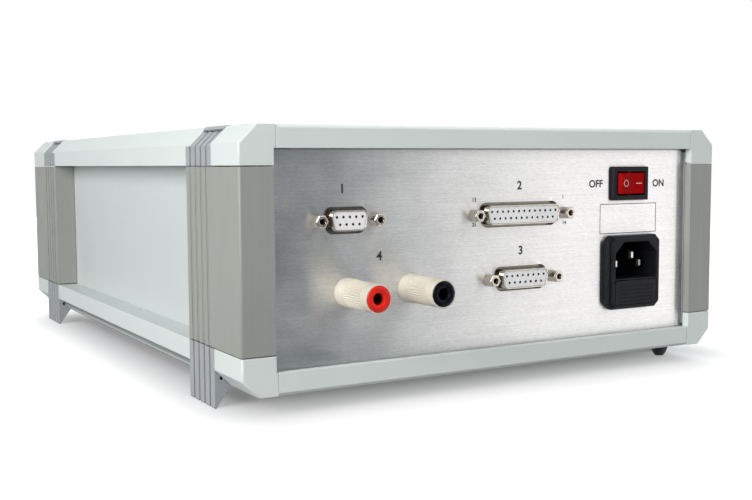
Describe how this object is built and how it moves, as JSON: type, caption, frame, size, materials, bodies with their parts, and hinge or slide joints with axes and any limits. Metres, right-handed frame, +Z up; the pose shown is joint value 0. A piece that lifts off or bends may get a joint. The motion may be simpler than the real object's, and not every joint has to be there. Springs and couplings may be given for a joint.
{
  "type": "fluxmeter",
  "caption": "Bench fluxmeter in a rail-and-corner case with ribbed feet, plug connectors, coil terminals, a rocker switch and a fused mains inlet on its brushed rear panel.",
  "frame": {"origin": "middle of the whole box at table level, under the case", "axes": "+X to the right seen from the front, +Y towards the rear panel, +Z up"},
  "size_m": [0.238, 0.354, 0.1086],
  "materials": {
    "case_paint": "pale grey-green powder coat, fine satin",
    "post_paint": "warm grey powder coat on ribbed extrusion, satin",
    "clip_grey": "cool grey moulded plastic, satin",
    "cover_paint": "pale grey-green powder coat, fine satin",
    "brushed_panel": "horizontally brushed",
    "rubber_black": "matt",
    "nickel": "nickel plated, semi-bright",
    "insulator_white": "satin",
    "terminal_cream": "semi-gloss",
    "ring_red": "gloss",
    "ring_black": "gloss",
    "brass": "turned",
    "switch_black": "satin",
    "rocker_red": "gloss",
    "inlet_black": "satin",
    "blade_metal": "nickel plated, bright",
    "fuse_glass": "clear glass with plated caps",
    "board_green": "solder mask",
    "spacer_metal": "turned, bright",
    "core_steel": "varnished laminations",
    "screw_steel": "zinc plated",
    "window_smoke": "dark tinted acrylic, gloss",
    "key_grey": "satin"
  },
  "bodies": {
    "root": {"auxiliary_shell": "nickel", "board_spacers": "spacer_metal", "bottom_cover": "cover_paint", "connector_insulators": "insulator_white", "corner_clips": "clip_grey", "corner_front_left_bottom": "case_paint", "corner_front_left_top": "case_paint", "corner_front_right_bottom": "case_paint", "corner_front_right_top": "case_paint", "corner_rear_left_bottom": "case_paint", "corner_rear_left_top": "case_paint", "corner_rear_right_bottom": "case_paint", "corner_rear_right_top": "case_paint", "cover_screws": "screw_steel", "display_board": "board_green", "display_window": "window_smoke", "foot_front_left": "clip_grey", "foot_front_right": "clip_grey", "foot_rear_left": "clip_grey", "foot_rear_right": "clip_grey", "front_panel": "brushed_panel", "inlet_blades": "blade_metal", "inlet_housing": "inlet_black", "jackscrews": "nickel", "main_board": "board_green", "post_front_left": "post_paint", "post_front_right": "post_paint", "post_rear_left": "post_paint", "post_rear_right": "post_paint", "probe_shell": "nickel", "rail_front_bottom": "case_paint", "rail_front_top": "case_paint", "rail_rear_bottom": "case_paint", "rail_rear_top": "case_paint", "rear_panel": "brushed_panel", "rubber_bumper": "rubber_black", "serial_shell": "nickel", "side_panel_left": "cover_paint", "side_panel_right": "cover_paint", "side_rail_left_bottom": "case_paint", "side_rail_left_top": "case_paint", "side_rail_right_bottom": "case_paint", "side_rail_right_top": "case_paint", "switch_housing": "switch_black", "terminal_collars": "terminal_cream", "terminal_studs": "brass", "top_cover": "cover_paint", "transformer": "core_steel"},
    "red_carrier": {"red_ring": "ring_red"},
    "red_cap": {"red_knob": "terminal_cream"},
    "black_carrier": {"black_ring": "ring_black"},
    "black_cap": {"black_knob": "terminal_cream"},
    "rocker": {"switch_rocker": "rocker_red"},
    "fuse_tray": {"fuse_drawer": "inlet_black", "fuse": "fuse_glass"},
    "key_1_body": {"key_1": "key_grey"},
    "key_2_body": {"key_2": "key_grey"},
    "key_3_body": {"key_3": "key_grey"},
    "key_4_body": {"key_4": "key_grey"}
  },
  "joints": [
    {"name": "rocker_tip", "type": "hinge", "parent": "root", "child": "rocker", "pos_m": [-0.0707, 0.15275, 0.0843], "axis": [0, 0, -1], "range_deg": [0, 16]},
    {"name": "drawer_slide", "type": "slide", "parent": "root", "child": "fuse_tray", "axis": [0, 1, 0], "range_m": [0, 0.013]},
    {"name": "red_knob_travel", "type": "slide", "parent": "root", "child": "red_carrier", "axis": [0, 1, 0], "range_m": [0, 0.00337]},
    {"name": "red_knob_turn", "type": "hinge", "parent": "red_carrier", "child": "red_cap", "pos_m": [0.073, 0.15255, 0.0445], "axis": [0, 1, 0], "range_deg": [0, 1621]},
    {"name": "black_knob_travel", "type": "slide", "parent": "root", "child": "black_carrier", "axis": [0, 1, 0], "range_m": [0, 0.00337]},
    {"name": "black_knob_turn", "type": "hinge", "parent": "black_carrier", "child": "black_cap", "pos_m": [0.0446, 0.15255, 0.0445], "axis": [0, 1, 0], "range_deg": [0, 1621]},
    {"name": "key_1_press", "type": "slide", "parent": "root", "child": "key_1_body", "axis": [0, 1, 0], "range_m": [0, 0.0012], "stiffness_N_per_m": 400},
    {"name": "key_2_press", "type": "slide", "parent": "root", "child": "key_2_body", "axis": [0, 1, 0], "range_m": [0, 0.0012], "stiffness_N_per_m": 400},
    {"name": "key_3_press", "type": "slide", "parent": "root", "child": "key_3_body", "axis": [0, 1, 0], "range_m": [0, 0.0012], "stiffness_N_per_m": 400},
    {"name": "key_4_press", "type": "slide", "parent": "root", "child": "key_4_body", "axis": [0, 1, 0], "range_m": [0, 0.0012], "stiffness_N_per_m": 400}
  ],
  "couplings": [
    {"joint": "red_knob_turn", "follows": "red_knob_travel", "rad_per_m": 8377.6},
    {"joint": "black_knob_turn", "follows": "black_knob_travel", "rad_per_m": 8377.6}
  ]
}
